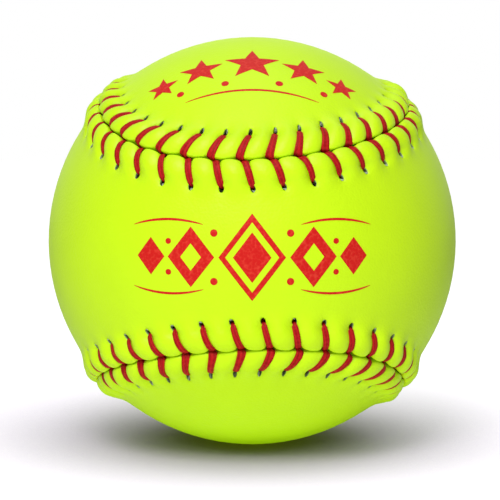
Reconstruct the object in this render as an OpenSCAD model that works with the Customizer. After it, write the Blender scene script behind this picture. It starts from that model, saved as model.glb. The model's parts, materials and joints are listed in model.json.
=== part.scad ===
// Fastpitch softball: a moulded core, a film of cement, two waisted leather panels and the
// waxed thread that laces their edges together. Millimetres, origin at the ball's centre, +Z up.
// The front panel's waist faces -Y, and the back panel's lobes close over the top and the bottom.

/* [Ball] */
// Diameter over the smooth leather
ball_d = 97; // [90:0.5:104]
// Thickness of the leather away from the seam
leather_t = 2.4; // [2:0.1:3]
// Thickness of the cement film between core and leather
cement_t = 0.2; // [0.1:0.05:0.4]

/* [Seam] */
// Stitches round the ball, counted on one panel
stitch_count = 88; // [76:2:96]
// Swell of the lobes, as a share of the seam line's round part
seam_lobe_share = 0.508; // [0.45:0.005:0.55]
// Swing of the seam line from front to back, as a share of its round part
seam_swing_share = 1.09; // [1:0.01:1.2]
// Turn of the lobes against the waists, in degrees
seam_twist = 6; // [0:0.5:10]
// Distance from the seam line to the middle of the stitch holes
hole_row = 6.5; // [6.1:0.1:7]
// How much further out the holes stand on the lobes, and how much further in on the waists
hole_row_swing = 0.3; // [0:0.05:0.4]

/* [Welt] */
// Height of the puckers between the stitches, over the smooth leather
pucker_h = 2.1; // [1.6:0.1:2.4]
// Height of the leather lips where they meet in the seam
lip_h = 1.3; // [0.9:0.1:1.5]
// Gap between the two leather lips
lip_gap = 0.24; // [0.1:0.02:0.4]
// Height of the channel under the welt that the thread runs back through
channel_h = 1.05; // [1:0.05:1.2]

/* [Thread] */
// Width of the flattened thread
thread_w = 1.3; // [1:0.05:1.4]
// Thickness of the flattened thread
thread_t = 0.8; // [0.6:0.05:0.8]
// Height of the middle of the thread over the smooth leather, where it tops the welt
leg_h = 1.55; // [1.4:0.05:1.8]
// How far a stitch leans along the seam between its hole and the seam line
stitch_lean = 2.3; // [1.8:0.1:2.6]
// How far the lacing has slipped along the bottom of the seam, where it is even along the top
lacing_slip = -2.25; // [-3:0.05:3]

/* [Hidden] */
front = -1;
back = 1;

ball_r = ball_d / 2;
bed_r = ball_r - leather_t;
core_r = bed_r - cement_t;
roof_r = bed_r + channel_h;

// Clearances of the lacing
thread_clear = 0.08;
valley_clear = 0.1;
hole_slack = 0.25;
bed_clear = 0.02;
// The thread rounds up in its hole and in the seam, and is drawn tighter still under the leather
thread_taper = 0.06;
post_d = thread_t - thread_taper;
run_d = post_d - thread_taper;
// How far the two threads stand apart along the seam where they cross in it, and how far each
// one stands from the seam line
cross_gap = 1.4;
foot_row = 0.3;
// How far behind the holes the smooth leather starts, and how far behind them the welt runs out
// into it and how deep under its surface
patch_reach = 1.2;
runout_reach = 3.6;
runout_sink = 0.15;
// Heights of the welt's rows over the smooth leather, between two stitches and behind a hole
shoulder_h = 1.3;
heel_h = 0.6;
dimple_h = 0.1;

// Places of the two pucker stations between a stitch and the next, and how much of the puckers'
// height they have over each of the arch's crest angles
pucker_shares = [0.4, 0.6];
crest_shares = [0.86, 1, 0.86];
// Where the leather lies under a thread's arch, as angles on the arch from the hole's side
lip_angle = 155;
crest_angles = [125, 90, 58];
hole_angle = 25;

// How far the thread's round stretches reach into its flat ones
post_lap = 0.2;
// Half the angle that a panel's middle line spans from lobe to lobe, and how far past the
// leather the wedge that cuts the panel out reaches
spine_half_angle = 105;
wedge_r_share = 1.35;
patch_steps = 88;
// Facets of the round solids, and steps along the seam line
smooth = 200;
fine = 24;
seam_steps = 720;
tangent_step = 0.5;

function unit(v) = v / norm(v);
function arc_deg(length) = length / ball_r * 180 / PI;

// The seam line, as a direction from the ball's centre at a turn of 0 to 360 degrees
function seam_dir(turn) = unit([
    sin(turn) + seam_lobe_share * sin(3 * turn),
    -seam_swing_share * cos(2 * turn + seam_twist),
    cos(turn) - seam_lobe_share * cos(3 * turn)]);

// Distance travelled along the seam line against turn
travel = [
    for (i = 0, s = 0;
        i <= seam_steps;
        s = s + ball_r * norm(seam_dir((i + 1) * 360 / seam_steps) - seam_dir(i * 360 / seam_steps)),
        i = i + 1)
    [s, i * 360 / seam_steps]];
seam_length = travel[seam_steps][0];
pitch = seam_length / stitch_count;
function turn_at(s) = lookup(s - seam_length * floor(s / seam_length), travel);

// Direction of a point at a turn of the seam line and a distance u to its back panel's side
function beside_turn(turn, u) =
    let (
        here = seam_dir(turn),
        along = unit(seam_dir(turn + tangent_step) - seam_dir(turn - tangent_step)),
        across = unit(cross(here, along)))
    here * cos(arc_deg(u)) + across * sin(arc_deg(u));
function beside(s, u) = beside_turn(turn_at(s), u);

// Place along the seam of stitch number k, and the distance of its hole from the seam line
function stitch_s(k) = k * pitch + lacing_slip * (1 - cos(360 * k / stitch_count)) / 2;
function row_u(k, side) = hole_row + side * hole_row_swing * cos(720 * k / stitch_count);

// Ends of the stitch leg number k on one side, as directions
function gap_s(k, side) = stitch_s(k) - stitch_lean - side * cross_gap / 2;
function hole_dir(k, side) = beside(stitch_s(k), side * row_u(k, side));
function foot_dir(k, side) = beside(gap_s(k, side), side * foot_row);

// A leg's own frame: [towards its hole, along the seam, outwards, half its span]
function leg_frame(k, side) =
    let (
        foot = foot_dir(k, side),
        hole = hole_dir(k, side),
        x = unit(hole - foot),
        z = unit(foot + hole))
    [x, side * cross(x, z), z, ball_r * norm(hole - foot) / 2];
front_legs = [for (k = [0 : stitch_count - 1]) leg_frame(k, front)];
back_legs = [for (k = [0 : stitch_count - 1]) leg_frame(k, back)];
function leg(k, side) =
    let (i = (k + stitch_count) % stitch_count)
    side == front ? front_legs[i] : back_legs[i];
function in_leg(f, x, y, z) = f[0] * x + f[1] * y + f[2] * z;

// Height of the arch's centre, and of the bends where the thread turns under the leather. The
// straight run between two bends dips most in its middle, where it just clears the bed.
function arch_z(f) = ball_r + leg_h - f[3];
half_run = norm([hole_row + hole_row_swing + foot_row, pitch - stitch_lean + cross_gap / 2]) / 2;
bend_r = norm([bed_r + bed_clear + post_d / 2, half_run]);
function bend_z(f) = sqrt(bend_r * bend_r - f[3] * f[3]);

// Leather under the thread of one stitch, row by row from the lip to the heel behind the hole.
// Each point is [x, z] in the leg's frame.
function arch_point(f, angle) =
    let (r = f[3] - thread_t / 2 - thread_clear)
    [r * cos(angle), arch_z(f) + r * sin(angle)];
function at_radius(x, r) = [x, sqrt(r * r - x * x)];
function valley(f) =
    let (
        lip = arch_point(f, lip_angle),
        near = arch_point(f, hole_angle),
        far_x = f[3] + thread_t / 2 + hole_slack)
    [
        at_radius(lip[0], roof_r),
        lip,
        for (angle = crest_angles) arch_point(f, angle),
        near,
        at_radius(far_x, ball_r + dimple_h),
        at_radius(far_x, roof_r),
        at_radius(near[0], roof_r)];

// Radius of the same rows on the puckers between the stitches
pucker_r = [
    roof_r,
    ball_r + lip_h,
    for (share = crest_shares) ball_r + share * pucker_h,
    ball_r + shoulder_h,
    ball_r + heel_h,
    roof_r,
    roof_r];
rows = len(pucker_r);
lip_row = 1;
near_row = lip_row + len(crest_shares) + 1;
valley_half = thread_w / 2 + valley_clear;

// The four stations of stitch k: both edges of its valley, then two on the pucker after it
function valley_station(k, side, y) =
    let (f = leg(k, side), profile = valley(f))
    [for (p = profile) in_leg(f, p[0], y, p[1])];
function pucker_station(k, side, share) =
    let (
        here = valley_station(k, side, 0),
        next = valley_station(k + 1, side, 0),
        lip_s = gap_s(k, side) * (1 - share) + gap_s(k + 1, side) * share,
        lip = beside(lip_s, side * lip_gap / 2))
    [for (j = [0 : rows - 1])
        pucker_r[j] * (j <= lip_row ? lip : unit(here[j] * (1 - share) + next[j] * share))];
function stations(k, side) = [
    valley_station(k, side, -valley_half),
    valley_station(k, side, valley_half),
    for (share = pucker_shares) pucker_station(k, side, share)];

// Welt of one panel: a ring of leather with a punched hole behind each stitch
module welt(side) {
    ring = [for (k = [0 : stitch_count - 1]) each stations(k, side)];
    runout = [for (k = [0 : stitch_count - 1])
        let (between = k + 1 / 2)
        beside(stitch_s(between), side * (row_u(between, side) + runout_reach)) * (ball_r - runout_sink)];
    n = len(ring);
    per = n / stitch_count;
    function at(i, j) = ((i + n) % n) * rows + j;
    function end_at(k) = n * rows + (k + stitch_count) % stitch_count;
    // A strip of leather between two rows, left open at the holes if asked
    function strip(a, b, punched) = [
        for (i = [0 : n - 1])
            if (!punched || i % per != 0)
                each [[at(i, a), at(i, b), at(i + 1, b)], [at(i, a), at(i + 1, b), at(i + 1, a)]]];
    // The leather from a row out to the run-out
    function fan(a) = [
        for (k = [0 : stitch_count - 1])
            let (i = k * per)
            each [
                for (d = [1 : per - 1]) [at(i + d, a), end_at(k), at(i + d + 1, a)],
                [at(i + per, a), end_at(k), end_at(k + 1)],
                [at(i + per, a), end_at(k + 1), at(i + per + 1, a)]]];
    function flipped(faces) = [for (t = faces) [t[0], t[2], t[1]]];
    outside = [
        for (j = [0 : near_row - 1]) each strip(j, j + 1, false),
        each strip(near_row, near_row + 1, true),
        each fan(near_row + 1)];
    underside = [
        each strip(rows - 2, rows - 1, true),
        each strip(rows - 1, 0, false),
        each flipped(fan(rows - 2))];
    holes = [
        for (k = [0 : stitch_count - 1])
            let (
                i = k * per,
                top = [at(i, near_row), at(i, near_row + 1), at(i + 1, near_row + 1), at(i + 1, near_row)],
                low = [at(i, rows - 1), at(i, rows - 2), at(i + 1, rows - 2), at(i + 1, rows - 1)])
            for (e = [0 : 3])
                let (o = (e + 1) % 4)
                each [[top[e], top[o], low[o]], [top[e], low[o], low[e]]]];
    faces = [each outside, each underside, each holes];
    polyhedron(
        points = [each [for (station = ring) each station], each runout],
        faces = side == front ? flipped(faces) : faces,
        convexity = 10);
}

// Points of a panel's middle line, from one lobe over the waist to the other
function spine_dir(i, side) =
    let (
        turn = i * 360 / patch_steps,
        lean = spine_half_angle * (side == front ? sin(turn) : cos(turn)))
    side == front ? [sin(lean), -cos(lean), 0] : [0, cos(lean), sin(lean)];
// Two steps of the seam on opposite sides of the spine share one spine point
function spine_index(i, side) =
    let (
        half = patch_steps / 2,
        quarter = patch_steps / 4,
        j = ((side == front ? i : i + quarter) + patch_steps) % patch_steps)
    j <= quarter ? j + quarter : j <= half + quarter ? half - j + quarter : j - patch_steps + quarter;
// Wedge from the ball's centre that holds the smooth part of one panel
module smooth_wedge(side) {
    n = patch_steps;
    reach_r = ball_r * wedge_r_share;
    spine_start = side == front ? -n / 4 : -n / 2;
    ring = [for (i = [0 : n - 1]) beside_turn(i * 360 / n, side * (hole_row + patch_reach)) * reach_r];
    spine = [for (j = [0 : n / 2]) spine_dir(spine_start + j, side) * reach_r];
    points = [[0, 0, 0], each ring, each spine];
    function rp(i) = 1 + (i + n) % n;
    function sp(i) = 1 + n + spine_index(i, side);
    faces = [for (i = [0 : n - 1])
        each [
            [0, rp(i), rp(i + 1)],
            [rp(i), sp(i), rp(i + 1)],
            if (sp(i) != sp(i + 1)) [rp(i + 1), sp(i), sp(i + 1)]]];
    polyhedron(
        points = points,
        faces = side == front ? [for (t = faces) [t[0], t[2], t[1]]] : faces,
        convexity = 10);
}

// One leather panel: its smooth part, and the welt along its edge
module panel(side) {
    intersection() {
        difference() {
            sphere(r = ball_r, $fn = smooth);
            sphere(r = bed_r, $fn = smooth);
        }
        smooth_wedge(side);
    }
    welt(side);
}

module core() {
    color("#cdbb86") sphere(r = core_r, $fn = smooth);
}

module cement_film() {
    color("#e9dfbd") difference() {
        sphere(r = bed_r, $fn = smooth);
        sphere(r = core_r, $fn = smooth);
    }
}

// Section of the flattened thread, its thickness along X
module thread_section() {
    square([thread_t, thread_w - thread_t], center = true);
    for (end = [-1, 1])
        translate([0, end * (thread_w - thread_t) / 2]) circle(d = thread_t, $fn = fine);
}

// Places its children in the frame [x, y, z]
module placed(x, y, z) {
    multmatrix([
        [x[0], y[0], z[0], 0],
        [x[1], y[1], z[1], 0],
        [x[2], y[2], z[2], 0],
        [0, 0, 0, 1]])
        children();
}

// The thread of one stitch: up out of its hole, over the welt and down into the seam
module stitch_leg(k, side) {
    f = leg(k, side);
    placed(f[0], cross(f[2], f[0]), f[2]) {
        translate([0, 0, arch_z(f)]) rotate([90, 0, 0])
            rotate_extrude(angle = 180, $fn = smooth) translate([f[3], 0]) thread_section();
        for (end = [-1, 1])
            translate([end * f[3], 0, bend_z(f) - post_d / 2])
                cylinder(h = arch_z(f) - bend_z(f) + post_d / 2 + post_lap, d = post_d, $fn = fine);
    }
}

// The thread under the other panel, from the seam on to that panel's next hole
module under_run(k, side) {
    f = leg(k, side);
    g = leg(k - 1, -side);
    from = in_leg(f, -f[3], 0, bend_z(f));
    to = in_leg(g, g[3], 0, bend_z(g));
    z = unit(to - from);
    x = unit(cross(z, from));
    translate(from) placed(x, cross(z, x), z)
        cylinder(h = norm(to - from), d = run_d, $fn = fine);
}

// Each run takes every second stitch of both panels
module thread_run(first) {
    for (k = [0 : stitch_count - 1]) {
        side = k % 2 == first ? front : back;
        stitch_leg(k, side);
        under_run(k, side);
    }
}

core();
cement_film();
color("#c6f000") panel(front);  // panel_front
color("#c6f000") panel(back);  // panel_back
color("#c8201c") thread_run(0);  // thread_run_one
color("#c8201c") thread_run(1);  // thread_run_two
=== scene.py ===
"""Looks of the softball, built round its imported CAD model.

Sizes are millimetres in the code and metres in the meshes, but for the floor and the lamps, whose
sizes are metres here too. The ball's centre is the origin, +Z is up and the front panel's waist
faces -Y. Places on the leather are given as travel s along the seam line, distance u from it to
the back panel's side, and height h over the smooth leather. Colours are linear.
"""

import json
import math
from collections import Counter

import bmesh
import bpy
import numpy as np
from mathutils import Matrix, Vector

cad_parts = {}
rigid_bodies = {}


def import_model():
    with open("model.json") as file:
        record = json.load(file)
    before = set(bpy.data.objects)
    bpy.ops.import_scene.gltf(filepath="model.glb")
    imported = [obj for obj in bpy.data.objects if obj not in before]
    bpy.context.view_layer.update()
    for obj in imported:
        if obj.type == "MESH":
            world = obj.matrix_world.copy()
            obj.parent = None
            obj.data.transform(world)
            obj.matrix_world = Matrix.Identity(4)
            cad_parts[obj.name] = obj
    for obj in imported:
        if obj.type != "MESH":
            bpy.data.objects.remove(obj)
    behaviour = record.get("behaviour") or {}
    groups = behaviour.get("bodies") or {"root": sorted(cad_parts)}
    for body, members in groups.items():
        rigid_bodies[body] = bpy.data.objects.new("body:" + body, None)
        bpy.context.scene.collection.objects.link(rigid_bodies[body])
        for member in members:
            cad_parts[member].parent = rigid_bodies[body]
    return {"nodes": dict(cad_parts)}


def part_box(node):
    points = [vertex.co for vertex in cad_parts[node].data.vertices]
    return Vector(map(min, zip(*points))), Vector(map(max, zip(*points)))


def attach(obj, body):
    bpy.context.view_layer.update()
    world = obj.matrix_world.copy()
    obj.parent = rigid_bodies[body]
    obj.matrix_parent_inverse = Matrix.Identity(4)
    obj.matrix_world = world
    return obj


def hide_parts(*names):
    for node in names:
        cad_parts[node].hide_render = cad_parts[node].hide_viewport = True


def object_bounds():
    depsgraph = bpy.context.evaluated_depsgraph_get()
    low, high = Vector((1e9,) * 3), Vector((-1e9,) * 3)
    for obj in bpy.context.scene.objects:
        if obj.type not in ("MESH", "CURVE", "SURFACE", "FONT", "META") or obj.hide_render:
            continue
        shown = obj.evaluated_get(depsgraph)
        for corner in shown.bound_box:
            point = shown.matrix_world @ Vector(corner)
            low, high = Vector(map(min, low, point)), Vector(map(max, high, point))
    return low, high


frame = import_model()
cad_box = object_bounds()

MM = 0.001
FRONT, BACK = -1, 1
RANDOM_SEED = 88
rng = np.random.default_rng(RANDOM_SEED)

# The ball's radii come from the frame, and the channel that the threads run back through is the
# CAD model's
BALL_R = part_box("panel_back")[1][2] / MM
BED_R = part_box("cement_film")[1][2] / MM
CHANNEL_H = 1.05
ROOF_H = BED_R + CHANNEL_H - BALL_R
BED_H = BED_R - BALL_R

# Seam line and stitches. They are the CAD model's, but for the back panel's slip, LOBE_SPREAD and
# CUSP_PULL, which say where the lacing's tension has drawn the holes.
STITCHES = 88
LOBE_SHARE = 0.508
SWING_SHARE = 1.09
TWIST = math.radians(6)
HOLE_ROW = 6.5
HOLE_ROW_SWING = 0.3
CUSP_PULL = 0.8
LACING_SLIP = {FRONT: -2.25, BACK: -1.45}
LOBE_SPREAD = 1.7
STITCH_LEAN = 2.3
CROSS_GAP = 1.4
PATCH_REACH = 1.2
SPINE_HALF_ANGLE = math.radians(105)

# Nearer to the seam line than this, the lips stay where they are as the hole rows swing
LIP_U = 1


def unit(v):
    return v / np.linalg.norm(v, axis=-1, keepdims=True)


def travelled(points):
    """Distance along a line of points, at each of them."""
    return np.concatenate([[0], np.cumsum(np.linalg.norm(np.diff(points, axis=0), axis=1))])


def seam_dir(turn):
    """The seam line, as directions from the ball's centre."""
    return unit(np.stack([
        np.sin(turn) + LOBE_SHARE * np.sin(3 * turn),
        -SWING_SHARE * np.cos(2 * turn + TWIST),
        np.cos(turn) - LOBE_SHARE * np.cos(3 * turn)], axis=-1))


# The seam line's length, measured in short steps
SEAM_STEPS = 7200
TURNS = np.linspace(0, 2 * math.pi, SEAM_STEPS + 1)
TRAVEL = travelled(seam_dir(TURNS)) * BALL_R
SEAM_LENGTH = TRAVEL[-1]
PITCH = SEAM_LENGTH / STITCHES


def at(s, u, h):
    """Points on the ball, in millimetres."""
    s, u, h = np.broadcast_arrays(np.asarray(s, float), u, h)
    turn = np.interp(s % SEAM_LENGTH, TRAVEL, TURNS)
    here = seam_dir(turn)
    step = TURNS[1]
    across = unit(np.cross(here, seam_dir(turn + step) - seam_dir(turn - step)))
    angle = (u / BALL_R)[..., None]
    return (here * np.cos(angle) + across * np.sin(angle)) * (BALL_R + h)[..., None]


def stitch_s(k, side):
    """Place along the seam of stitch number k, whose holes spread apart round a lobe."""
    slip = LACING_SLIP[side] * (1 - np.cos(2 * math.pi * k / STITCHES)) / 2
    phase = 4 * math.pi * k / STITCHES
    on_lobe = (1 + side * np.cos(phase)) / 2
    return k * PITCH + slip + side * LOBE_SPREAD * on_lobe * np.sin(phase)


def row_share(k, side):
    """Distance of the hole of stitch number k from the seam line, as a share of the mean row."""
    phase = 4 * math.pi * k / STITCHES
    return 1 + (side * HOLE_ROW_SWING * np.cos(phase) - CUSP_PULL * np.sin(phase) ** 2) / HOLE_ROW


def stretched(u, reach):
    """Distances from the seam line, moved in or out with the hole row."""
    return u * np.where(u > LIP_U, reach, 1)


def lean(side):
    """How far a stitch leans along the seam between its hole and the seam line."""
    return STITCH_LEAN + side * CROSS_GAP / 2


def on_stitch(k, side, u):
    """Place along the seam of the point of stitch number k at a distance from the seam line."""
    return stitch_s(k, side) - lean(side) * (1 - u / (HOLE_ROW * row_share(k, side)))


def smooth_line(points, count):
    """A Catmull-Rom line through given points, resampled to count points."""
    p = np.asarray(points, float)
    p = np.vstack([2 * p[0] - p[1], p, 2 * p[-1] - p[-2]])
    x = np.linspace(0, len(p) - 3, count)
    i = np.minimum(x.astype(int), len(p) - 4)
    t = (x - i)[:, None]
    a, b, c, d = p[i], p[i + 1], p[i + 2], p[i + 3]
    return b + t / 2 * (c - a + t * (2 * a - 5 * b + 4 * c - d + t * (3 * (b - c) + d - a)))


def numbered(grid, base=0):
    """Vertex numbers of a grid of points, in the grid's own shape."""
    return base + np.arange(grid.shape[0] * grid.shape[1]).reshape(grid.shape[:2])


def strip(a, b):
    """Quads between two closed rows of vertex numbers."""
    return np.stack([a, b, np.roll(b, -1), np.roll(a, -1)], axis=1)


def add_object(name, data):
    thing = bpy.data.objects.new(name, data)
    bpy.context.scene.collection.objects.link(thing)
    return thing


def new_piece(name, vertices, faces, material, smooth=True):
    """A closed mesh in metres that rides on the ball, its faces turned outwards."""
    mesh = bpy.data.meshes.new(name)
    mesh.from_pydata((np.asarray(vertices) * MM).tolist(), [], faces)
    bm = bmesh.new()
    bm.from_mesh(mesh)
    bmesh.ops.recalc_face_normals(bm, faces=bm.faces)
    bm.to_mesh(mesh)
    bm.free()
    mesh.polygons.foreach_set("use_smooth", [smooth] * len(mesh.polygons))
    mesh.materials.append(material)
    piece = add_object(name, mesh)
    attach(piece, "root")
    return piece


def add_attribute(piece, name, values):
    """One number per vertex, which a material reads by its name."""
    attribute = piece.data.attributes.new(name, "FLOAT", "POINT")
    attribute.data.foreach_set("value", np.asarray(values, np.float32))


# Materials

def new_material(name):
    material = bpy.data.materials.new(name)
    material.use_nodes = True
    nodes = material.node_tree.nodes
    return material, nodes, material.node_tree.links, nodes["Principled BSDF"]


def set_sheen(shader, roughness, specular):
    shader.inputs["Roughness"].default_value = roughness
    shader.inputs["Specular IOR Level"].default_value = specular


def add_mix(nodes, links, factor, a, b):
    """A colour mix. A colour is a triple, and a and b may also be sockets."""
    mix = nodes.new("ShaderNodeMix")
    mix.data_type = "RGBA"
    links.new(factor, mix.inputs["Factor"])
    for name, value in (("A", a), ("B", b)):
        if isinstance(value, tuple):
            mix.inputs[name].default_value = (*value, 1)
        else:
            links.new(value, mix.inputs[name])
    return mix.outputs["Result"]


def add_math(nodes, links, operation, a, b):
    result = nodes.new("ShaderNodeMath")
    result.operation = operation
    links.new(a, result.inputs[0])
    links.new(b, result.inputs[1])
    return result.outputs[0]


def add_ramp(nodes, links, value, span, top=1.0):
    """A value's place in a span, from 0 at its low end to top at its high end."""
    ramp = nodes.new("ShaderNodeMapRange")
    ramp.inputs["From Min"].default_value = span[0]
    ramp.inputs["From Max"].default_value = span[1]
    ramp.inputs["To Max"].default_value = top
    links.new(value, ramp.inputs["Value"])
    return ramp.outputs["Result"]


def add_noise(nodes, links, place, scale, detail):
    noise = nodes.new("ShaderNodeTexNoise")
    noise.inputs["Scale"].default_value = scale
    noise.inputs["Detail"].default_value = detail
    links.new(place, noise.inputs["Vector"])
    return noise.outputs


def add_bump(nodes, links, height, depth_mm, normal=None, invert=False):
    bump = nodes.new("ShaderNodeBump")
    bump.invert = invert
    bump.inputs["Distance"].default_value = depth_mm * MM
    links.new(height, bump.inputs["Height"])
    if normal is not None:
        links.new(normal, bump.inputs["Normal"])
    return bump.outputs["Normal"]


def add_shader_mix(nodes, links, factor, a, b):
    pick = nodes.new("ShaderNodeMixShader")
    links.new(factor, pick.inputs["Fac"])
    links.new(a, pick.inputs[1])
    links.new(b, pick.inputs[2])
    return pick.outputs[0]


def attribute_value(nodes, name):
    attribute = nodes.new("ShaderNodeAttribute")
    attribute.attribute_name = name
    return attribute.outputs["Fac"]


def object_place(nodes):
    return nodes.new("ShaderNodeTexCoord").outputs["Object"]


def per_metre(size_mm):
    """Scale of a texture whose features are size_mm across."""
    return 1 / (size_mm * MM)


# Grain of the leather. Noise shifts the pebbles by up to one pebble.
PEBBLE_MM = 0.6
PEBBLE_DEPTH_MM = 0.045
PEBBLE_SOFTNESS = 0.4
SHIFT_NOISE_MM = 2.5 * PEBBLE_MM
PORE_MM = 0.18
PORE_DEPTH_MM = 0.018


def leather_grain(nodes, links, shader):
    """Pebbles with creases between them, and finer pores over them."""
    place = object_place(nodes)
    noise = add_noise(nodes, links, place, per_metre(SHIFT_NOISE_MM), detail=1)
    shift = nodes.new("ShaderNodeVectorMath")
    shift.operation = "MULTIPLY_ADD"
    shift.inputs[1].default_value = (PEBBLE_MM * MM,) * 3
    links.new(noise["Color"], shift.inputs[0])
    links.new(place, shift.inputs[2])
    pebble = nodes.new("ShaderNodeTexVoronoi")
    pebble.feature = "SMOOTH_F1"
    pebble.inputs["Smoothness"].default_value = PEBBLE_SOFTNESS
    pebble.inputs["Scale"].default_value = per_metre(PEBBLE_MM)
    links.new(shift.outputs[0], pebble.inputs["Vector"])
    pores = add_noise(nodes, links, place, per_metre(PORE_MM), detail=3)
    normal = add_bump(nodes, links, pebble.outputs["Distance"], PEBBLE_DEPTH_MM, invert=True)
    normal = add_bump(nodes, links, pores["Fac"], PORE_DEPTH_MM, normal)
    links.new(normal, shader.inputs["Normal"])
    return place, pebble.outputs["Distance"]


# Colour of the leather: its dye cloudy between two greens, pale and grey at a cut edge, and
# darkened beside the stitches by painted shade
LEATHER_DARK = (0.46, 0.715, 0.001)
LEATHER_PALE = (0.50, 0.765, 0.002)
PAINTED_SHADE_COLOUR = (0.30, 0.54, 0.0)
CUT_COLOUR = (0.32, 0.42, 0.26)
CLOUD_MM = 14
LEATHER_ROUGHNESS = 0.5
LEATHER_SPECULAR = 0.28


def leather_material():
    material, nodes, links, shader = new_material("leather")
    place, _ = leather_grain(nodes, links, shader)
    cloud = add_noise(nodes, links, place, per_metre(CLOUD_MM), detail=4)
    colour = add_mix(nodes, links, cloud["Fac"], LEATHER_DARK, LEATHER_PALE)
    # Painted shade beside the stitches, where the leather dips into the valleys
    colour = add_mix(nodes, links, attribute_value(nodes, "painted_shade"), colour, PAINTED_SHADE_COLOUR)
    colour = add_mix(nodes, links, attribute_value(nodes, "raw"), colour, CUT_COLOUR)
    links.new(colour, shader.inputs["Base Color"])
    set_sheen(shader, LEATHER_ROUGHNESS, LEATHER_SPECULAR)
    return material


# Ink on the leather's own grain. It thins out between the pebbles, over this span of the distance
# from a pebble's middle in pebbles.
INK_COLOUR = (0.49, 0.008, 0.006)
THIN_INK_COLOUR = (0.58, 0.035, 0.02)
THIN_INK_SPAN = (0.45, 0.95)
INK_ROUGHNESS = 0.5
INK_SPECULAR = 0.15


def ink_material():
    material, nodes, links, shader = new_material("ink")
    _, pebble = leather_grain(nodes, links, shader)
    thin = add_ramp(nodes, links, pebble, THIN_INK_SPAN)
    links.new(add_mix(nodes, links, thin, INK_COLOUR, THIN_INK_COLOUR), shader.inputs["Base Color"])
    set_sheen(shader, INK_ROUGHNESS, INK_SPECULAR)
    return material


# Waxed thread, darkened between its plies by painted shade, with pale streaks that come in over
# this span of the fibres' noise
PLY_GAP_SHADE_COLOUR = (0.20, 0.002, 0.003)
PLY_COLOUR = (0.42, 0.007, 0.008)
STREAK_COLOUR = (0.54, 0.03, 0.026)
STREAK_SPAN = (0.45, 0.75)
STREAK_STRENGTH = 0.6
FIBRE_DEPTH_MM = 0.06
WAX_MM = 0.6
WAX_DEPTH_MM = 0.03
THREAD_ROUGHNESS = 0.55
THREAD_SPECULAR = 0.1


def thread_material():
    """The fibres' noise is drawn out along the thread by the meshes' own attributes."""
    material, nodes, links, shader = new_material("thread")
    lengthwise = nodes.new("ShaderNodeCombineXYZ")
    links.new(attribute_value(nodes, "along"), lengthwise.inputs["X"])
    links.new(attribute_value(nodes, "around"), lengthwise.inputs["Y"])
    fibres = add_noise(nodes, links, lengthwise.outputs[0], scale=1, detail=4)
    wax = add_noise(nodes, links, object_place(nodes), per_metre(WAX_MM), detail=2)
    # Painted shade in the gaps between the plies
    colour = add_mix(nodes, links, attribute_value(nodes, "ply"), PLY_GAP_SHADE_COLOUR, PLY_COLOUR)
    streak = add_ramp(nodes, links, fibres["Fac"], STREAK_SPAN, STREAK_STRENGTH)
    links.new(add_mix(nodes, links, streak, colour, STREAK_COLOUR), shader.inputs["Base Color"])
    normal = add_bump(nodes, links, fibres["Fac"], FIBRE_DEPTH_MM)
    normal = add_bump(nodes, links, wax["Fac"], WAX_DEPTH_MM, normal)
    links.new(normal, shader.inputs["Normal"])
    set_sheen(shader, THREAD_ROUGHNESS, THREAD_SPECULAR)
    return material


# Relief of the plainer materials, whose colours wander between two
MOTTLE_DEPTH_MM = 0.05


def mottled_material(name, dark, pale, size_mm, roughness):
    material, nodes, links, shader = new_material(name)
    noise = add_noise(nodes, links, object_place(nodes), per_metre(size_mm), detail=4)
    links.new(add_mix(nodes, links, noise["Fac"], dark, pale), shader.inputs["Base Color"])
    links.new(add_bump(nodes, links, noise["Fac"], MOTTLE_DEPTH_MM), shader.inputs["Normal"])
    shader.inputs["Roughness"].default_value = roughness
    return material


LEATHER = leather_material()
INK = ink_material()
THREAD = thread_material()
LINT = mottled_material(
    "lint", dark=(0.20, 0.27, 0.20), pale=(0.54, 0.60, 0.50), size_mm=0.15, roughness=0.9)
CORE = mottled_material(
    "core_foam", dark=(0.50, 0.38, 0.17), pale=(0.66, 0.53, 0.28), size_mm=1.2, roughness=0.7)
CEMENT = mottled_material(
    "cement", dark=(0.66, 0.58, 0.36), pale=(0.82, 0.76, 0.54), size_mm=2.5, roughness=0.5)

# Leather panels. Each profile is [distance from the seam line, height], from the lip's lower edge
# over the welt to the smooth leather: on a pucker, and under a stitch's thread.
PUCKER = [
    (0.05, ROOF_H), (0.04, 0.2), (0.05, 1.16), (0.26, 1.60), (0.95, 1.93), (2.1, 2.17), (3.4, 2.18),
    (4.6, 1.89), (5.5, 1.46), (6.5, 0.98), (7.5, 0.56), (8.6, 0.26), (9.9, 0.08), (12.0, 0)]
VALLEY = [
    (0.62, ROOF_H), (0.62, -0.6), (0.66, 0.2), (0.85, 0.75), (1.5, 1.16), (2.4, 1.29), (3.4, 1.18),
    (4.5, 0.70), (5.45, 0.06), (6.5, 0.02), (7.5, 0.12), (8.6, 0.1), (9.9, 0.03), (12.0, 0)]

# A hole lies between these points of the profiles. The mesh takes ROWS_A_POINT steps from a point
# to the next, and then these many to the panel's middle line, outside and on the bed.
NEAR_POINT, FAR_POINT = 8, 10
ROWS_A_POINT = 3
SKIN_ROWS = (len(PUCKER) - 1) * ROWS_A_POINT + 1
HOLE_NEAR, HOLE_FAR = NEAR_POINT * ROWS_A_POINT, FAR_POINT * ROWS_A_POINT
OUTER_FILL, INNER_FILL = 10, 3

# Columns of the mesh from a stitch to the middle of the pucker beside it, as shares of the way to
# the next stitch, and the last of them that a hole takes
STATION_SHARES = [0, 0.042, 0.085, 0.12, 0.155, 0.20, 0.26, 0.33, 0.41, 0.5]
HOLE_COLUMN = 2

# How the leather swells from a valley to a pucker, each as [distances from the seam line, values
# there]: the half width of the valley's floor, and the power of the rise, which is steep in the
# seam and soft further out
VALLEY_HALF_WIDTH = ([0.3, 3.4], [0.85, 0.5])
RISE_POWER = ([0.2, 3.0, 6.0], [0.35, 0.75, 1.0])

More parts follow.
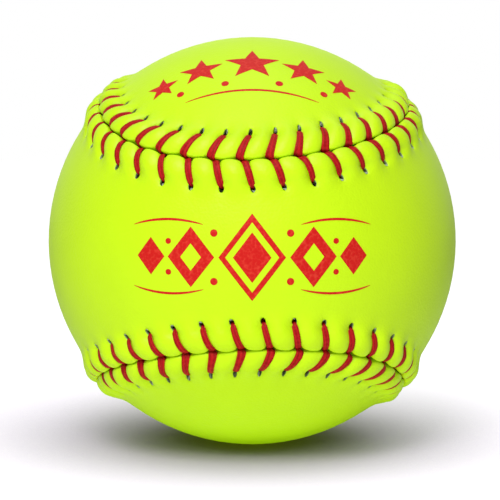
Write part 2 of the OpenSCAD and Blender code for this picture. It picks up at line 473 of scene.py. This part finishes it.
# How far the puckers' heights differ, and how softly a valley bends at its hole, both as shares
PLUMPNESS_SPREAD = 0.05
LEAN_SOFTNESS = 0.08

# Painted shade darkens the leather beside a stitch, out to this distance from it and round this
# one from the seam line
PAINTED_SHADE_REACH = 1.5
PAINTED_SHADE_U = 3.2
PAINTED_SHADE_STRENGTH = 0.2

# The dye ends this far down a hole's wall, where this share of the cut leather's colour shows
DYED_EDGE_H = 0.12
DYED_EDGE_RAW = 0.85


def panel_columns():
    """Each column's stitch, its share of the way to the next one, and its number from the nearest."""
    half = np.array(STATION_SHARES)
    shares = np.concatenate([half, 1 - half[-2:0:-1]])
    numbers = np.concatenate([np.arange(len(half)), np.arange(2 - len(half), 0)])
    stitch = np.repeat(np.arange(STITCHES), len(shares))
    return stitch, np.tile(shares, STITCHES), np.tile(numbers, STITCHES)


def lean_at(u, side, reach):
    """How far a stitch's line has moved along the seam, eased in round the hole."""
    rest = 1 - u / (HOLE_ROW * reach)
    return -lean(side) * (rest + np.sqrt(rest ** 2 + LEAN_SOFTNESS ** 2)) / 2


def swelling(profile_u, beside):
    """Share of the way from valley, 0, to pucker, 1, at a distance beside a stitch's line."""
    half = np.interp(profile_u, *VALLEY_HALF_WIDTH)
    power = np.interp(profile_u, *RISE_POWER)
    rise = np.clip((beside - half) / (PITCH / 2 - half), 0, 1)
    return np.sin(rise * math.pi / 2) ** power


def rounded(a):
    """What one coordinate is scaled by where the other is a, to turn a square into a disc."""
    return np.sqrt(np.maximum(1 - a ** 2 / 2, 0))


def panel_skin(side, stitch, share, column):
    """The swollen and pierced leather beside the seam, as rows of points in each column.

    Returns the points, their distances from the seam line, and each column's from its stitch.
    """
    place = stitch + share
    reach = row_share(place, side)[:, None]
    pucker, valley = smooth_line(PUCKER, SKIN_ROWS), smooth_line(VALLEY, SKIN_ROWS)
    beside = np.minimum(share, 1 - share)[:, None] * PITCH
    puff = swelling(pucker[:, 0], beside)
    u = valley[:, 0] * (1 - puff) + pucker[:, 0] * puff
    h = valley[:, 1] * (1 - puff) + pucker[:, 1] * puff
    plump = 1 + PLUMPNESS_SPREAD * rng.standard_normal(STITCHES)[stitch, None] * puff
    h = np.where(h > 0, h * plump, h)
    u = stretched(u, reach)

    # The hole's rim, drawn in from its block of cells to an oval
    x = (column / HOLE_COLUMN)[:, None]
    y = ((np.arange(SKIN_ROWS) - (HOLE_NEAR + HOLE_FAR) / 2) / ((HOLE_FAR - HOLE_NEAR) / 2))[None, :]
    block = (np.abs(x) <= 1) & (np.abs(y) <= 1)
    travel = stitch_s(place, side)[:, None] + lean_at(u, side, reach)
    length = reach * (valley[HOLE_FAR, 0] - valley[HOLE_NEAR, 0])
    oval_u = reach * valley[HOLE_NEAR, 0] + (y * rounded(x) + 1) / 2 * length
    half_width = STATION_SHARES[HOLE_COLUMN] * PITCH
    centre = stitch_s(stitch + (share > 0.5), side)[:, None] + lean_at(oval_u, side, reach)
    oval_s = centre + x * rounded(y) * half_width
    u = np.where(block, oval_u, u)
    travel = np.where(block, oval_s, travel)
    return at(travel, side * u, h), u, beside


def spine_dir(i, n, side):
    """Direction of the panel's middle line that column i of n runs to."""
    turn = 2 * math.pi * i / n
    angle = SPINE_HALF_ANGLE * (np.sin(turn) if side == FRONT else np.cos(turn))
    zero = np.zeros_like(angle)
    if side == FRONT:
        return np.stack([np.sin(angle), -np.cos(angle), zero], axis=-1)
    return np.stack([zero, np.cos(angle), np.sin(angle)], axis=-1)


def spine_of(i, n, side):
    """Number of the middle line's point that column i runs to: two columns share each point."""
    quarter = n // 4
    j = (i if side == FRONT else i + quarter) % n
    j = (j + quarter) % n
    return np.minimum(j, n - j)


def fill(edge, side, radius, count):
    """Rows between an edge and the panel's middle line, on one sphere."""
    goal = spine_dir(np.arange(len(edge)), len(edge), side)
    from_edge = unit(edge)
    steps = np.linspace(0, 1, count + 1)[1:-1]
    return np.stack([unit(from_edge * (1 - k) + goal * k) * radius for k in steps], axis=1)


def hole_walls(column, skin, top, low, base):
    """Walls of the holes from the skin to the roof, with a ring of new points where the dye ends.

    The skin's points have the numbers in top, the roof's are in low, and new ones start at base.
    """
    points, faces = [], []
    for first in np.flatnonzero(column == -HOLE_COLUMN):
        cells = (first + np.arange(2 * HOLE_COLUMN + 1)) % len(column)
        loop = [(c, HOLE_NEAR) for c in cells]
        loop += [(cells[-1], r) for r in range(HOLE_NEAR + 1, HOLE_FAR + 1)]
        loop += [(c, HOLE_FAR) for c in cells[-2::-1]]
        loop += [(cells[0], r) for r in range(HOLE_FAR - 1, HOLE_NEAR, -1)]
        columns, rows = np.array(loop).T
        rim = top[columns, rows].tolist()
        edge = [base + len(points) + i for i in range(len(loop))]
        foot = low[columns, rows - HOLE_NEAR].tolist()
        points += [p * (1 - DYED_EDGE_H / np.linalg.norm(p)) for p in skin[columns, rows]]
        for i in range(len(loop)):
            j = (i + 1) % len(loop)
            faces.append([rim[i], edge[i], edge[j], rim[j]])
            faces.append([edge[i], foot[i], foot[j], edge[j]])
    return points, faces


def panel(name, node, side):
    stitch, share, column = panel_columns()
    n = len(column)
    skin, u, beside = panel_skin(side, stitch, share, column)

    # The underside: the channel's roof as far as the holes' far edges, its end wall, and the bed
    roof = unit(skin[:, HOLE_NEAR:HOLE_FAR + 1]) * (BALL_R + ROOF_H)
    wall_s = stitch_s(stitch + share, side)
    wall_u = side * (HOLE_ROW + PATCH_REACH)
    wall = np.stack([at(wall_s, wall_u, ROOF_H), at(wall_s, wall_u, BED_H)], axis=1)

    # Points, and their numbers
    outer = np.concatenate([skin, fill(skin[:, -1], side, BALL_R, OUTER_FILL)], axis=1)
    inner = np.concatenate([roof, wall, fill(wall[:, -1], side, BED_R, INNER_FILL)], axis=1)
    spine = spine_of(np.arange(n), n, side)
    middle = np.zeros((n // 2 + 1, 3))
    middle[spine] = spine_dir(np.arange(n), n, side)
    top = numbered(outer)
    low = numbered(inner, top.size)
    top_spine = top.size + low.size + spine
    low_spine = top_spine + len(middle)
    edge_base = top.size + low.size + 2 * len(middle)

    # Both surfaces, left open where the holes are and closed along the panel's middle line
    is_hole = np.isin(column, np.arange(-HOLE_COLUMN, HOLE_COLUMN))
    faces = []
    for numbers, near, far in ((top, HOLE_NEAR, HOLE_FAR), (low, 0, HOLE_FAR - HOLE_NEAR)):
        for r in range(numbers.shape[1] - 1):
            quads = strip(numbers[:, r], numbers[:, r + 1])
            faces.extend((quads[~is_hole] if near <= r < far else quads).tolist())
    faces.extend(strip(top[:, 0], low[:, 0]).tolist())
    for edge, goal in ((top[:, -1], top_spine), (low[:, -1], low_spine)):
        for ring in strip(edge, goal).tolist():
            faces.append(list(dict.fromkeys(ring)))

    edge_points, walls = hole_walls(column, skin, top, low, edge_base)
    vertices = np.concatenate([
        outer.reshape(-1, 3), inner.reshape(-1, 3), middle * BALL_R, middle * BED_R, edge_points])
    piece = new_piece(name, vertices, faces + walls, LEATHER)

    # Where painted shade darkens the leather beside the stitches, and where it is cut, for its colour
    painted_shade = np.zeros(len(vertices))
    from_stitch = np.clip(PAINTED_SHADE_REACH - beside, 0, 1)
    # Painted shade, strongest right beside a stitch and round the welt's middle
    painted_shade[top[:, :SKIN_ROWS]] = PAINTED_SHADE_STRENGTH * (
        from_stitch * np.exp(-((u - PAINTED_SHADE_U) / PAINTED_SHADE_U) ** 4))
    raw = np.zeros(len(vertices))
    raw[top[:, 0]] = 1
    raw[low] = 1
    raw[low_spine] = 1
    raw[edge_base:] = DYED_EDGE_RAW
    add_attribute(piece, "painted_shade", painted_shade)
    add_attribute(piece, "raw", raw)
    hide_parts(node)
    return piece


# Thread. A leg's line is [distance from the seam line, height of its middle], from the hole over
# the welt and down into the seam, with the thread's width and thickness there, and the share of
# the way that it has slid towards the thread it crosses in the seam.
LEG = [
    (5.95, -1.9, 0.80, 0.70, 0), (5.92, -1.0, 0.92, 0.65, 0), (5.80, -0.25, 1.15, 0.52, 0),
    (5.50, 0.24, 1.34, 0.46, 0), (4.95, 0.66, 1.43, 0.44, 0), (4.20, 1.13, 1.48, 0.44, 0),
    (3.40, 1.43, 1.52, 0.44, 0), (2.40, 1.53, 1.58, 0.44, 0), (1.55, 1.42, 1.70, 0.44, 0),
    (0.90, 1.11, 1.84, 0.44, 0.05), (0.46, 0.64, 1.80, 0.48, 0.35), (0.27, -0.10, 1.35, 0.58, 0.75),
    (0.24, -1.10, 0.90, 0.68, 0.8), (0.24, -1.95, 0.80, 0.70, 0.8)]
LEG_RINGS = 34

# A leg's direction is taken between the rings that lie this many in from its ends
WELT_RING = 7

# In the groove, up to the first of these distances from the seam line, a leg has this share of its
# width, by its panel. From the second distance on it has its whole width.
GROOVE_WIDTH = {FRONT: 0.78, BACK: 1.10}
GROOVE_SPAN = [0.5, 3.3]

# How far the legs differ from one another, sideways at their middle and as a share of their width
SWAY = 0.08
WIDTH_SPREAD = 0.04

# The hidden way from a leg's end to the next hole
RUN_RINGS = 6
RUN_H = -1.95

# Section of the thread: a flattened bundle of plies that turn by PLY_TURN from ring to ring
SIDES = 20
SECTION_POWER = 0.85
PLIES = 6
PLY_SWELL = 0.10
PLY_TURN = 0.022

# Size of the fibres' noise: its features to a millimetre along the thread, and across half of it
FIBRE_STRETCH = 1.6
FIBRES_AROUND = 5


def thread_line(first):
    """A thread run's rings: their middles, widths, thicknesses and sideways directions.

    The run goes back along the seam, with its legs on the two panels in turn.
    """
    leg = smooth_line(LEG, LEG_RINGS)
    bow = np.sin(math.pi * np.linspace(0, 1, LEG_RINGS))
    shares = np.linspace(0, 1, RUN_RINGS + 2)[1:-1, None]
    centres, wide, thick, across = [], [], [], []
    for step in range(STITCHES):
        k = (first - step) % STITCHES
        side = FRONT if step % 2 == 0 else BACK
        u = stretched(leg[:, 0], row_share(k, side))
        s = on_stitch(k, side, u) + side * leg[:, 4] * CROSS_GAP / 2
        sway = SWAY * rng.standard_normal() * bow
        centre = at(s + sway, side * u, leg[:, 1])
        over_welt = centre[-1 - WELT_RING] - centre[WELT_RING]
        sideways = unit(np.cross(unit(centre[LEG_RINGS // 2]), over_welt))
        spread = np.interp(leg[:, 0], GROOVE_SPAN, [GROOVE_WIDTH[side], 1])

        start = centre[-1]
        following = k - 1
        hole_u = -side * leg[0, 0] * row_share(following, -side)
        end = at(stitch_s(following, -side), hole_u, RUN_H)
        run = unit(start * (1 - shares) + end * shares) * (BALL_R + RUN_H)

        centres += [centre, run]
        wide += [
            leg[:, 2] * spread * (1 + WIDTH_SPREAD * rng.standard_normal()),
            np.full(RUN_RINGS, leg[0, 2])]
        thick += [leg[:, 3], np.full(RUN_RINGS, leg[0, 3])]
        across += [
            np.repeat(sideways[None], LEG_RINGS, axis=0),
            unit(np.cross(unit(run), end - start))]
    return [np.concatenate(rows) for rows in (centres, wide, thick, across)]


def flattened(wave):
    return np.sign(wave) * np.abs(wave) ** SECTION_POWER


def thread_run(name, node, first):
    centre, wide, thick, across = thread_line(first)
    along = unit(np.roll(centre, -1, axis=0) - np.roll(centre, 1, axis=0))
    across = unit(across - along * (across * along).sum(1, keepdims=True))
    outwards = np.cross(along, across)
    angle = np.linspace(0, 2 * math.pi, SIDES, endpoint=False)
    turned = angle[None, :] + np.arange(len(centre))[:, None] * PLY_TURN
    ply = 0.5 + 0.5 * np.cos(PLIES * turned)
    swell = 1 + PLY_SWELL * (ply - 0.5)
    x = flattened(np.cos(angle)) * swell
    y = flattened(np.sin(angle)) * swell
    rings = (centre[:, None]
             + across[:, None] * (x * wide[:, None] / 2)[..., None]
             + outwards[:, None] * (y * thick[:, None] / 2)[..., None])
    numbers = numbered(rings)
    faces = []
    for j in range(SIDES):
        faces.extend(strip(numbers[:, j], numbers[:, (j + 1) % SIDES]).tolist())
    piece = new_piece(name, rings.reshape(-1, 3), faces, THREAD)
    # How far each point lies from a gap between plies, 0, to a ply's crest, 1: the material paints
    # shade in the gaps
    add_attribute(piece, "ply", ply.ravel())
    add_attribute(piece, "along", np.repeat(travelled(centre) * FIBRE_STRETCH, SIDES))
    add_attribute(piece, "around", (np.sin(turned) * FIBRES_AROUND).ravel())
    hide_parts(node)
    return piece


# Pale lint at the far end of most holes. A strand starts under the leather at one place along the
# seam and ends at another. Its line is [shares of the first and the second place, distance from
# the seam line, height, shares of its rise that are added to the distance and to the height].
LINT_LINE = [
    (1.0, 0.0, 6.70, -0.95, 0.0, 0), (0.8, 0.2, 7.00, -0.50, 0.0, 0),
    (0.3, 0.7, 7.24, -0.10, 0.0, 1), (0.0, 1.0, 7.42, 0.0, 0.3, 1)]
LINT_SHARE = 0.8
LINT_STRANDS = (3, 7)
LINT_SPREAD = 0.27
LINT_RISE = (-0.25, 0.1)
LINT_RADIUS = (0.08, 0.15)
LINT_TAPER = ([0, 3, 5], [1, 1, 0.35])
LINT_RINGS = 6
LINT_SIDES = 6


def strand(centre, radius):
    """Points and faces of a round tube along a line, closed at both ends."""
    along = unit(np.gradient(centre, axis=0))
    a = unit(np.cross(along, unit(centre)))
    b = np.cross(along, a)
    angle = np.linspace(0, 2 * math.pi, LINT_SIDES, endpoint=False)[None, :, None]
    points = centre[:, None] + radius[:, None, None] * (
        a[:, None] * np.cos(angle) + b[:, None] * np.sin(angle))
    numbers = numbered(points)
    quads = np.concatenate([strip(ring, after) for ring, after in zip(numbers, numbers[1:])])
    return points.reshape(-1, 3), quads.tolist() + [numbers[0].tolist(), numbers[-1].tolist()]


def lint():
    vertices, faces = [], []
    for side in (FRONT, BACK):
        for k in range(STITCHES):
            if rng.random() > LINT_SHARE:
                continue
            for _ in range(rng.integers(LINT_STRANDS[0], LINT_STRANDS[1] + 1)):
                s0, s1 = LINT_SPREAD * rng.standard_normal(2).clip(-1, 1)
                rise = rng.uniform(*LINT_RISE)
                line = smooth_line([
                    (s0 * a + s1 * b, u + c * rise, h + d * rise)
                    for a, b, u, h, c, d in LINT_LINE], LINT_RINGS)
                u = line[:, 1] * row_share(k, side)
                centre = at(on_stitch(k, side, u) + line[:, 0], side * u, line[:, 2])
                radius = rng.uniform(*LINT_RADIUS) * np.interp(np.arange(LINT_RINGS), *LINT_TAPER)
                points, rings = strand(centre, radius)
                faces.extend([len(vertices) + v for v in ring] for ring in rings)
                vertices.extend(points)
    piece = new_piece("hole_lint", vertices, faces, LINT)
    return piece


# Printed ornament. Each motif is a grid of flat points round the print's middle, x to the right
# and y up, which is wrapped on the leather and given the ink's thickness. A solid motif has a
# pinhole at its middle, so that its faces are all quads.
INK_H = 0.03
INK_SINK = 0.12
OUTLINE_STEP = 0.5
PINHOLE = 0.001
SOLID_ROWS = 6
STAR_POINTS = 5
STAR_WAIST = 0.42
DISC_POINTS = 24
RULE_ROWS = 2
RULE_TIP = 0.02
NO_DISTANCE = 1e-9

# On the waist, lozenges are [x, half width, half height, share that is open, rows of faces], dots
# are [x, y, radius], and rules are [x at both ends, y, width, drop]. All are on both sides but
# the middle ones.
WAIST_LATITUDE = math.radians(-0.4)
MIDDLE_LOZENGES = [(0, 7.2, 9.4, 0.80, 2), (0, 4.1, 5.4, PINHOLE, SOLID_ROWS)]
SIDE_LOZENGES = [(13.3, 5.2, 6.6, 0.45, 3), (22.6, 3.3, 4.2, PINHOLE, SOLID_ROWS)]
WAIST_DOTS = [(8.2, 5.2, 0.8), (8.2, -5.2, 0.8), (18.4, 3.4, 0.65), (18.4, -3.4, 0.65)]
WAIST_RULES = [(10.5, 27.0, 8.2, 0.55, 1.2), (10.5, 27.0, -8.2, 0.55, -1.2)]

# On the crown, stars and dots are [x, y, radius]
CROWN_LATITUDE = math.radians(57)
MIDDLE_STAR = (0, 1.6, 6.4)
SIDE_STARS = [(11.6, 0.5, 5.2), (20.6, -2.2, 3.9)]
CROWN_DOTS = [(6.0, -6.0, 0.85), (16.2, -6.8, 0.85)]
CROWN_RULE = (-15, 15, -8.6, 0.6, 1.4)


def motif(outline, centre, open_share=PINHOLE, rows=SOLID_ROWS):
    """A shape that is star-shaped round its middle, with a hole like itself."""
    scale = np.linspace(open_share, 1, rows + 1)
    grid = np.asarray(outline)[:, None] * scale[None, :, None] + np.asarray(centre)
    return grid, True


def closed_outline(corners):
    corners = np.asarray(corners, float)
    points = []
    for a, b in zip(corners, np.roll(corners, -1, axis=0)):
        count = int(np.linalg.norm(b - a) / OUTLINE_STEP)
        points.append(a + (b - a) * np.linspace(0, 1, count, endpoint=False)[:, None])
    return np.concatenate(points)


def star(x, y, radius):
    point = np.arange(2 * STAR_POINTS)
    angle = math.pi / 2 + point * math.pi / STAR_POINTS
    r = np.where(point % 2 == 0, radius, radius * STAR_WAIST)
    return motif(closed_outline(np.stack([r * np.cos(angle), r * np.sin(angle)], axis=-1)), (x, y))


def lozenge(x, half_width, half_height, open_share, rows):
    corners = [(half_width, 0), (0, half_height), (-half_width, 0), (0, -half_height)]
    return motif(closed_outline(corners), (x, 0), open_share, rows)


def disc(x, y, radius):
    angle = np.linspace(0, 2 * math.pi, DISC_POINTS, endpoint=False)
    return motif(np.stack([radius * np.cos(angle), radius * np.sin(angle)], axis=-1), (x, y))


def rule(x0, x1, y, width, drop):
    """A thin line from x0 to x1 that bends down by drop towards its ends and tapers to points."""
    x = np.linspace(x0, x1, int(abs(x1 - x0) / OUTLINE_STEP))
    share = (x - (x0 + x1) / 2) / abs(x1 - x0) * 2
    taper = np.sqrt(np.maximum(1 - share ** 2, RULE_TIP))
    middle = y - drop * share ** 2
    offsets = np.linspace(-width / 2, width / 2, RULE_ROWS + 1)
    across = middle[:, None] + taper[:, None] * offsets[None, :]
    return np.stack([np.broadcast_to(x[:, None], across.shape), across], axis=-1), False


def print_piece(name, motifs, latitude):
    """Wraps the motifs round a middle point on the front of the ball."""
    middle = np.array([0, -math.cos(latitude), math.sin(latitude)])
    up = np.array([0, math.sin(latitude), math.cos(latitude)])
    right = np.array([1, 0, 0])
    vertices, faces = [], []
    for grid, wraps in motifs:
        n, m = grid.shape[:2]
        flat = grid.reshape(-1, 2)
        far = np.linalg.norm(flat, axis=1, keepdims=True)
        angle = far / BALL_R
        side = (right * flat[:, :1] + up * flat[:, 1:]) / np.maximum(far, NO_DISTANCE)
        where = middle * np.cos(angle) + side * np.sin(angle)
        face_up = len(vertices)
        face_down = face_up + n * m
        vertices.extend(where * (BALL_R + INK_H))
        vertices.extend(where * (BALL_R - INK_SINK))
        quads = []
        for i in range(n if wraps else n - 1):
            for j in range(m - 1):
                k = (i + 1) % n
                quads.append((i * m + j, k * m + j, k * m + j + 1, i * m + j + 1))
        edges = Counter((a, b) for q in quads for a, b in zip(q, q[1:] + q[:1]))
        faces.extend([face_up + v for v in q] for q in quads)
        faces.extend([face_down + v for v in reversed(q)] for q in quads)
        for a, b in edges:
            if (b, a) not in edges:
                faces.append([face_up + a, face_up + b, face_down + b, face_down + a])
    piece = new_piece(name, vertices, faces, INK, smooth=False)
    return piece


def waist_print():
    motifs = [lozenge(*values) for values in MIDDLE_LOZENGES]
    for side in (-1, 1):
        motifs += [lozenge(side * x, *values) for x, *values in SIDE_LOZENGES]
        motifs += [disc(side * x, y, radius) for x, y, radius in WAIST_DOTS]
        motifs += [rule(side * x0, side * x1, *values) for x0, x1, *values in WAIST_RULES]
    return print_piece("print_waist", motifs, WAIST_LATITUDE)


def crown_print():
    motifs = [star(*MIDDLE_STAR), rule(*CROWN_RULE)]
    for side in (-1, 1):
        motifs += [star(side * x, y, radius) for x, y, radius in SIDE_STARS]
        motifs += [disc(side * x, y, radius) for x, y, radius in CROWN_DOTS]
    return print_piece("print_crown", motifs, CROWN_LATITUDE)


def finish_node(node, material):
    """Gives a CAD piece whose shape is right its material."""
    materials = frame["nodes"][node].data.materials
    materials.clear()
    materials.append(material)


# Camera, as the photograph was taken: the ball's radius and middle are pixels of it
IMAGE = 500
BALL_PX = 203.6
CENTRE_PX = (252.2, 240.6)
CAMERA_DISTANCE = 413
CAMERA_ELEVATION = math.radians(3.9)
SENSOR = 36
CLIP_START = 10


def add_camera():
    focal_px = BALL_PX * math.sqrt(CAMERA_DISTANCE ** 2 - BALL_R ** 2) / BALL_R
    data = bpy.data.cameras.new("camera")
    data.sensor_width = SENSOR
    data.lens = focal_px / IMAGE * SENSOR
    data.shift_x = (IMAGE / 2 - CENTRE_PX[0]) / IMAGE
    data.shift_y = (CENTRE_PX[1] - IMAGE / 2) / IMAGE
    data.clip_start = CLIP_START * MM
    camera = add_object("camera", data)
    towards = Vector((0, -math.cos(CAMERA_ELEVATION), math.sin(CAMERA_ELEVATION)))
    camera.location = towards * CAMERA_DISTANCE * MM
    camera.rotation_euler = (math.pi / 2 - CAMERA_ELEVATION, 0, 0)
    bpy.context.scene.camera = camera


# Floor. To the camera it is a surface of the colour SEEN_LIT that also glows, so that it is white
# where nothing is near. The glow holds a painted shadow of the ball, soft: it falls off over
# SHADOW_SPAN, as more of the room within SHADOW_REACH is taken up, straight above and towards
# SHADOW_FROM.
FLOOR_HALF = 3.0
FLOOR_WHITE = (0.8, 0.8, 0.8)
FLOOR_ROUGHNESS = 0.9
FLOOR_SPECULAR = 0.1
SEEN_LIT = (0.24, 0.20, 0.27)
SHADOW_REACH = 0.5
SHADOW_SAMPLES = 16
SHADOW_SPAN = (0.04, 0.82)
SHADOW_FROM = (0.10, -0.60, 0.62)


def add_open_share(nodes, links, normal=None):
    """Share of the directions round a normal, or else round the floor's, in which nothing is near."""
    occlusion = nodes.new("ShaderNodeAmbientOcclusion")
    occlusion.samples = SHADOW_SAMPLES
    occlusion.inputs["Distance"].default_value = SHADOW_REACH
    if normal is not None:
        links.new(normal, occlusion.inputs["Normal"])
    return occlusion.outputs["AO"]


def floor_material():
    material, nodes, links, shader = new_material("floor")
    shader.inputs["Base Color"].default_value = (*FLOOR_WHITE, 1)
    set_sheen(shader, FLOOR_ROUGHNESS, FLOOR_SPECULAR)
    seen = nodes.new("ShaderNodeBsdfDiffuse")
    seen.inputs["Color"].default_value = (*SEEN_LIT, 1)
    direction = nodes.new("ShaderNodeCombineXYZ")
    for axis, value in zip("XYZ", Vector(SHADOW_FROM).normalized()):
        direction.inputs[axis].default_value = value
    above = add_open_share(nodes, links)
    ahead = add_open_share(nodes, links, direction.outputs[0])
    level = add_math(nodes, links, "MULTIPLY", above, ahead)
    # The glow dims where the ball is near, which paints its soft shadow on the floor
    glow = nodes.new("ShaderNodeEmission")
    links.new(add_ramp(nodes, links, level, SHADOW_SPAN), glow.inputs["Strength"])
    total = nodes.new("ShaderNodeAddShader")
    links.new(seen.outputs[0], total.inputs[0])
    links.new(glow.outputs[0], total.inputs[1])
    path = nodes.new("ShaderNodeLightPath")
    surface = add_shader_mix(
        nodes, links, path.outputs["Is Camera Ray"], shader.outputs[0], total.outputs[0])
    links.new(surface, nodes["Material Output"].inputs["Surface"])
    return material


def add_floor():
    mesh = bpy.data.meshes.new("floor")
    mesh.from_pydata(
        [(x * FLOOR_HALF, y * FLOOR_HALF, 0) for x, y in ((-1, -1), (1, -1), (1, 1), (-1, 1))],
        [], [(0, 1, 2, 3)])
    mesh.materials.append(floor_material())
    floor = add_object("floor", mesh)
    floor.location.z = cad_box[0][2]
    return floor


# World. It lights the ball a little from all sides, and is white where it is seen or mirrored.
SKY = 0.18
WHITE = (1, 1, 1, 1)


def add_world():
    world = bpy.data.worlds.new("studio")
    bpy.context.scene.world = world
    world.use_nodes = True
    nodes, links = world.node_tree.nodes, world.node_tree.links
    sky = nodes["Background"]
    sky.inputs["Color"].default_value = WHITE
    sky.inputs["Strength"].default_value = SKY
    backdrop = nodes.new("ShaderNodeBackground")
    backdrop.inputs["Color"].default_value = WHITE
    path = nodes.new("ShaderNodeLightPath")
    shown = path.outputs["Is Camera Ray"]
    for other in ("Is Glossy Ray", "Is Transmission Ray"):
        shown = add_math(nodes, links, "MAXIMUM", shown, path.outputs[other])
    surface = add_shader_mix(nodes, links, shown, sky.outputs[0], backdrop.outputs[0])
    links.new(surface, nodes["World Output"].inputs["Surface"])


# Lamps, as [name, place, width and height, power in watts]. The ball's own lamps stand for the
# light that a white table and the room behind throw at it.
LAMPS = [
    ("overhead", (0.02, 0.06, 0.85), (0.4, 0.4), 1.2),
    ("softbox", (-0.12, -0.60, 0.62), (0.3, 0.3), 6.8)]
BALL_LAMPS = [
    ("bounce", (-0.06, -0.77, -0.46), (0.6, 0.3), 3.5),
    ("rear_fill", (0.05, 0.90, -0.05), (0.5, 0.5), 5.0)]


def add_lamp(name, place, size, power):
    """A soft lamp that faces the ball."""
    data = bpy.data.lights.new(name, "AREA")
    data.shape = "RECTANGLE"
    data.size, data.size_y = size
    data.energy = power
    lamp = add_object(name, data)
    lamp.location = place
    lamp.rotation_euler = (-Vector(place)).to_track_quat("-Z", "Y").to_euler()
    return lamp


def add_lamps(floor):
    for values in LAMPS:
        add_lamp(*values)
    ball_only = bpy.data.collections.new("ball_only")
    for piece in bpy.data.objects:
        if piece.type == "MESH" and piece != floor:
            ball_only.objects.link(piece)
    for values in BALL_LAMPS:
        lamp = add_lamp(*values)
        lamp.visible_glossy = False
        lamp.light_linking.receiver_collection = ball_only
        lamp.light_linking.blocker_collection = ball_only


panel("leather_front", "panel_front", FRONT)
panel("leather_back", "panel_back", BACK)
thread_run("lacing_one", "thread_run_one", 0)
thread_run("lacing_two", "thread_run_two", 1)
lint()
waist_print()
crown_print()
finish_node("core", CORE)
finish_node("cement_film", CEMENT)
add_camera()
add_world()
add_lamps(add_floor())
bpy.context.scene.view_settings.view_transform = "Standard"
